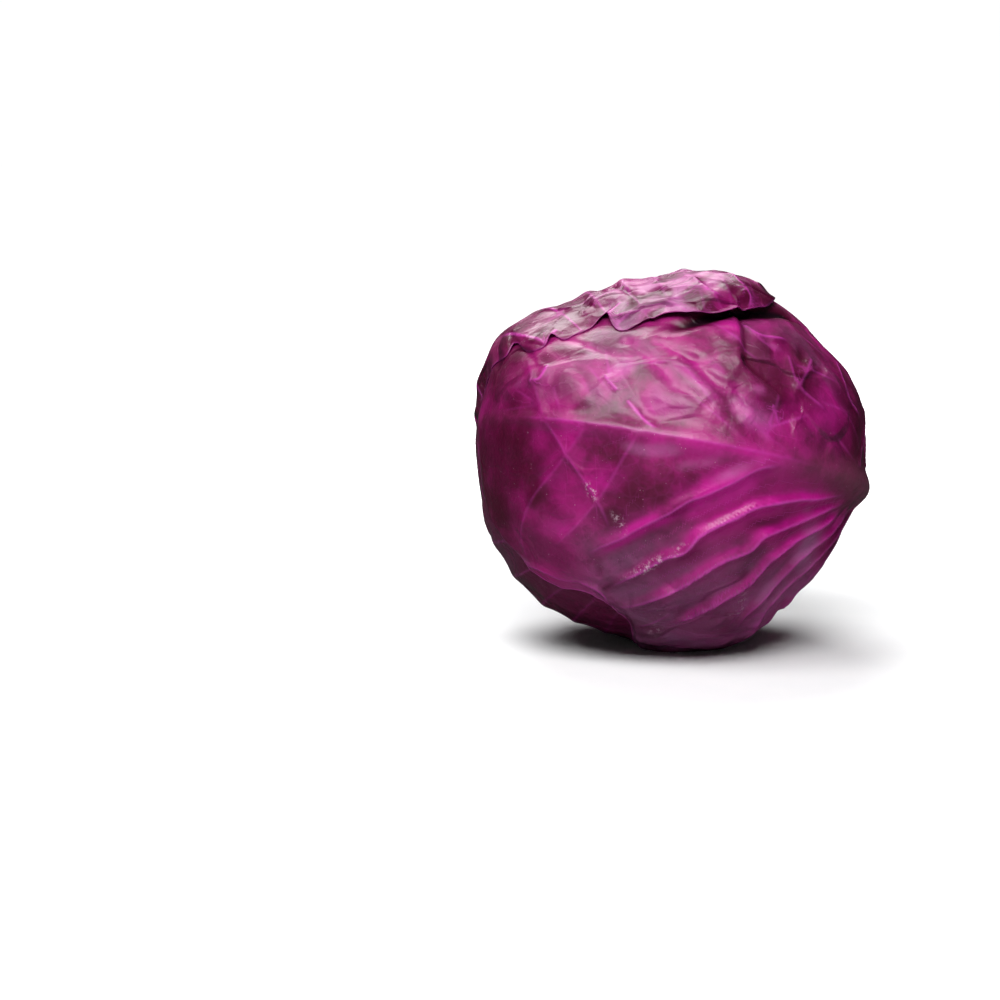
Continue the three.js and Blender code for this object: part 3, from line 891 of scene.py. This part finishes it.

    # Creases and facets above the rib, from the crown end to the stem end, with painted shade in the
    # grooves and at the feet of the steps.
    stroke([(62, 2), (67.5, 13.5), (72, 24)], crest=0.4, width=1.6, left=0.2, right=0.2, line=0.15)
    stroke([(64, 21.5), (66, 15.5), (70, 15)], crest=0.6, line=0.9)
    stroke([(46.5, 18.5), (41.5, 13)], crest=0.6, left=0.3, left_width=1.5, line=1.0)
    stroke([(39, 11), (35.5, 7.5), (32, 4.5), (29, 3)], crest=0.5, line=1.0)
    stroke([(58, 20), (52, 16), (47.5, 7)], step=0.5, dark=0.5)
    stroke([(62, 34), (50, 28.5), (44, 27), (36, 26)], crest=-0.6, width=1.4, vivid=0.7)
    stroke([(44, 34), (38, 29.5), (32.5, 25), (28.5, 20.5), (25.5, 17), (22, 15.5), (17, 13),
            (11.5, 11.5)],
           crest=-0.8, width=2.2, left=-0.3, vivid=1.0, dark=0.25, fade=(0.05, 0.25))
    stroke([(25, 30), (16, 21.5), (12.5, 19.5), (7.5, 18), (3.5, 16.5), (-4, 12)],
           crest=-0.6, width=1.8, left=-0.3, vivid=0.9, dark=0.3)
    stroke([(34, 34), (24, 28), (17, 26), (11, 28.5)], crest=-0.6, vivid=0.6)
    stroke([(5.5, 50), (5, 43), (5, 39), (5.5, 31), (5.5, 28.5), (2.5, 24.5), (-6.5, 19.5), (-12, 13)],
           step=1.7, dark=0.8, fade=(0.02, 0.3))
    stroke([(5.5, 16), (-2.5, 11.5)], crest=-0.5, left=-0.2, vivid=0.4)
    stroke([(-4, 16.5), (-6.5, 11.5)], crest=0.5, line=0.7)
    stroke([(4, 43.5), (-2.5, 40), (-12.5, 41.5)], crest=0.6, right=0.3, line=0.8)
    stroke([(-22.5, 38), (-15.5, 27.5), (-12, 23.5)], crest=0.7, width=2.0, left=0.3, line=0.5)
    stroke([(-11.5, 36), (-12.5, 25.5), (-17, 22), (-24, 19)], crest=0.7, width=2.0, left=0.5, line=0.4)
    stroke([(-38.5, 43.5), (-36.5, 34), (-37.5, 26), (-45, 22.5)], crest=0.7, line=0.7)
    stroke([(-30, 52), (-38, 47), (-43, 44), (-52, 40)], crest=0.5, width=2.2, right=0.4)
    stroke([(-44, 6), (-50, 18), (-56, 32)], crest=0.6, left=0.4, line=0.5)
    stroke([(-58, 8), (-64, 22), (-66, 38)], crest=0.8, left=0.5, line=0.6)
    # Painted shadow: a near-black band on the front leaf just under the top leaf's lifted edge, in a
    # groove there.
    stroke([(34, 36), (27, 38.5), (17, 43), (7, 47.5), (-5, 51.5), (-14, 55), (-24, 56)],
           crest=-2.4, width=2.4, dark=1.7, fade=(0.35, 0.1))
    # Painted shade: darker crimson patches at the ends of the head, which turn away from the lights, and
    # in hollows and dents.
    for spot in (
        (1.0, (-18, 37), (3, 5.5), 0, -0.7), (0.8, (60, 27), (11, 4), 30),
        (0.9, (77, 30), (10, 12), 0), (0.6, (68, 15), (7, 5), 20), (0.8, (-15, 25), (7, 11), 20),
        (0.6, (-8, 40), (6, 5), 0), (0.5, (40, 30), (10, 3), 15), (0.55, (10, -33), (13, 4), -42),
        (0.6, (-34, 27), (12, 10), 30), (0.5, (50, -46), (14, 8), 0), (0.7, (-2, 36), (4, 9), 30),
        (0.7, (-8, 22), (4, 8), -20), (0.6, (22, 36), (9, 2.6), 20), (0.6, (58, 13), (9, 6), 60),
        (0.8, (66, 24), (6, 4), 40), (1.0, (86, 24), (11, 18), 20), (1.0, (80, -22), (30, 46), 10),
        (0.9, (-43, 21), (22, 27), 10), (0.6, (58, -44), (16, 10), 20),
    ):
        patch("shade_and_crimson", *spot)
    # Painted highlights, with some wax bloom: pale, slightly bulging facets near and above the rib where
    # the lights are reflected.
    for spot in (
        (1.0, (42, 21.5), (6, 4.2), -30, 0.5), (0.9, (48, 12.5), (6, 3.4), 35, 0.4),
        (0.9, (29.5, 12.5), (5, 4), 45, 0.8), (0.9, (20.5, 20), (11, 2.6), 36, 0.4),
        (0.7, (13.5, 24), (4.5, 2.2), 60, 0.3), (0.6, (8.5, 36), (4, 2.2), 15, 0.3),
        (0.8, (1.5, 19.5), (2.6, 1.8), 10, 0.3), (0.7, (-6.5, 37), (3.6, 1.6), 10, 0.3),
        (0.6, (29, -3), (10, 2.4), -5, 0.2), (0.9, (2, 12), (9, 5), 30, 0.3),
        (0.8, (27, 11), (8, 5), 10), (0.6, (5, -5), (9, 2.4), -38, 0.3),
        (0.5, (-1, 8), (6, 3), 50, 0.3),
    ):
        patch("bloom_and_sheen", *spot)
    patch("vivid", 0.9, (9, 41), (5, 3.5), 20, 0.5)
    patch("vivid", 0.6, (56, 24), (9, 4), 20)
    patch("vivid", 0.6, (-26, 20), (9, 14), 20)

    upper = smoothstep(across, 2, 12) * smoothstep(along, -50, -25)
    # Above the rib the painted highlights are mostly vivid magenta, with less bloom, for the reflections
    # to whiten.
    relief.mark("vivid", 0.95 * relief.marks["bloom_and_sheen"] * smoothstep(across, -8, 2))
    relief.marks["bloom_and_sheen"] *= 1 - 0.45 * smoothstep(across, -8, 2)
    crown_end = smoothstep(-across, 3, 12) * smoothstep(along, 30, 50)
    relief.mark("crumpled", 0.04 + 0.36 * upper + 0.10 * crown_end)
    relief.folds(60, 21, 0.75, 8, 11, ((-40, 4), (85, 55)), 40, share=upper)
    below_rib = smoothstep(-across, 3, 20)
    relief.folds(50, 22, 0.35, 9, 16, ((-60, -85), (90, 0)), -50, share=below_rib, lined=0.0)
    lowest = smoothstep(-across, 38, 52) * (1 - smoothstep(along, 25, 45))
    relief.folds(60, 25, 0.9, 4, 7, ((-50, -84), (40, -42)), -60, share=lowest, lined=0.2)
    off_rib = smoothstep(-across, 12, 24)
    relief.folds(40, 26, 0.5, 5, 9, ((-62, -60), (12, -14)), 20, share=off_rib, lined=0.1)
    relief.mark("crumpled", 0.45 * lowest)
    flats = smoothstep(-across, 17, 42) * (1 - smoothstep(along, 22, 56)) * (1 - relief.marks["vivid"])
    wax = 0.02 + 0.62 * flats + 0.05 * upper
    relief.mark("bloom_and_sheen", wax * (1 - 0.7 * relief.marks["shade_and_crimson"]))
    relief.mark("shade_and_crimson", 0.3 * flats * (1 - smoothstep(-along, 10, 30)))
    relief.mark("crumpled", 0.2 * flats)


front_leaf = {
    "layer": 1,
    "tip": [84, 92, 98, 103, 100, 95, 84],
    "lower": [16, 28, 38, 44, 50, 66, 98, 104, 98, 84, 68, 61, 58, 60, 58, 52, 46],
    "upper": [16, 50, 74, 84, 88, 88, 84, 74, 52],
    "relief": front_relief,
    "ripple": 0.2,
    "margin": 0.9,
}
leaves_to_front = lower_leaves + [front_leaf]
grow_leaf(leaves_to_front, "front_leaf", 221, wrapper_skin, "wrapper_leaf_front")

# --- Top leaf -------------------------------------------------------------------------------------
# The outermost wrapper leaf lies over the top and back of the head. Its lower edge is torn and dry: on
# the left it clings to the front leaf, and on the right it curls off it and leaves a gap, with a painted
# shadow in it on the front leaf.


def top_relief(relief):
    """Draws the top leaf: a plain one with more folds, with patches of painted sheen and bloom, and of
    painted shade and darker crimson.
    """
    plain_relief(relief)
    along, across = relief.along, relief.across
    stroke, patch = relief.stroke, relief.patch
    relief.height -= 1.2
    relief.folds(70, 31, 1.3, 7, 10, ((-30, -88), (66, -8)), 30, lined=0.3)
    relief.folds(110, 32, 0.7, 4.0, 6, ((-30, -88), (66, -8)), 60, lined=0.3)
    stroke([(20, -34), (26, -40.5), (32, -49.5), (28.5, -55.5), (35.5, -64)],
           crest=-1.6, width=1.5, left=-0.5, right=-0.4, dark=1.0)
    stroke([(18, -60), (23, -67), (27.5, -73.5), (25, -77)], crest=1.0, right=0.5, line=0.8)
    stroke([(6, -68), (10, -74.5), (11, -81), (14.5, -83.5)], crest=0.8, right=0.5, line=0.8)
    stroke([(37.5, -46), (46, -43.5), (53, -40), (62, -33)], crest=0.9, left=0.4, line=1.0)
    stroke([(53, -27), (58, -23)], crest=0.8, left=0.4, line=1.0)
    stroke([(45, -52), (50, -47), (56, -46)], crest=0.8, right=0.6, line=0.6)
    stroke([(2, -40), (4.5, -48), (3, -57)], crest=0.9, width=1.4, right=0.6, line=0.6)
    stroke([(30, -26), (38, -30), (42, -38)], crest=-1.0, width=1.4, dark=0.8)
    # Painted shade at the lower edge and in two dents.
    patch("shade_and_crimson", 1.0, (-6, -80), (17, 8), 0)
    patch("shade_and_crimson", 0.9, (14, -52), (3, 4), 0, -0.5)
    patch("shade_and_crimson", 0.8, (44, -32), (6, 4), 30, -0.4)
    # Painted highlights, with wax bloom, on three bulges.
    patch("bloom_and_sheen", 1.0, (54, -22), (3.5, 2.5), 40, 0.6)
    patch("bloom_and_sheen", 0.9, (36, -53), (6, 4.5), 30, 0.6)
    patch("bloom_and_sheen", 0.9, (46, -62), (7, 4), 50, 0.5)
    relief.mark("shade_and_crimson", 0.9 * smoothstep(noise(relief.places, 9, 35), 0.10, 0.40))
    # Painted sheen where the leaf is lit, in a band above its lower edge; painted shade and darker
    # crimson over the rest of its back and along its lower lip, with the sheen taken off there.
    lit = smoothstep(along, -4, 12) * (1 - 0.8 * smoothstep(across, -50, -36))
    lit *= 1 - 0.9 * smoothstep(-across, 69, 79)
    relief.marks["bloom_and_sheen"] *= 0.4
    relief.mark("bloom_and_sheen", 0.65 * lit)
    relief.mark("shade_and_crimson", 0.55 * smoothstep(across, -46, -28) + 0.5 * smoothstep(-across, 71, 80))
    relief.marks["bloom_and_sheen"] *= 1 - relief.marks["shade_and_crimson"]
    relief.marks["crumpled"] += 0.35


def curl_of_edge(along, across, inside):
    """How far the lower edge stands off the leaf below it, in mm."""
    hump = np.sin(np.pi * np.clip((along + 22) / 78, 0, 1))
    lip = 1 - smoothstep(inside, 0, 5)
    return hump * (4.0 * smoothstep(-across, 46, 74) + 0.8 * lip * smoothstep(-across, 55, 75))


top_leaf = {
    "layer": 0,
    "tip": [55, 53, 60, 51, 42, 36, 30],
    "lower": [14, 36, 48, 57, 73, 83, 84, 78, 60],
    "upper": [14, 50, 70, 80, 86, 88, 84, 74, 48],
    "nicks": [(-42, 8, 3), (-25, 4, 2), (-11, 6, 4)],
    "midrib": 3.4, "veins": (-76, -61, -46, -31, -15, 3, 22, 42), "rumple": 0.6,
    "relief": top_relief,
    "lift": curl_of_edge,
    "ripple": 0.12,
    "margin": 0.45,
}
grow_leaf(leaves_to_front + [top_leaf], "top_leaf", 190, wrapper_skin, "wrapper_leaf_top")
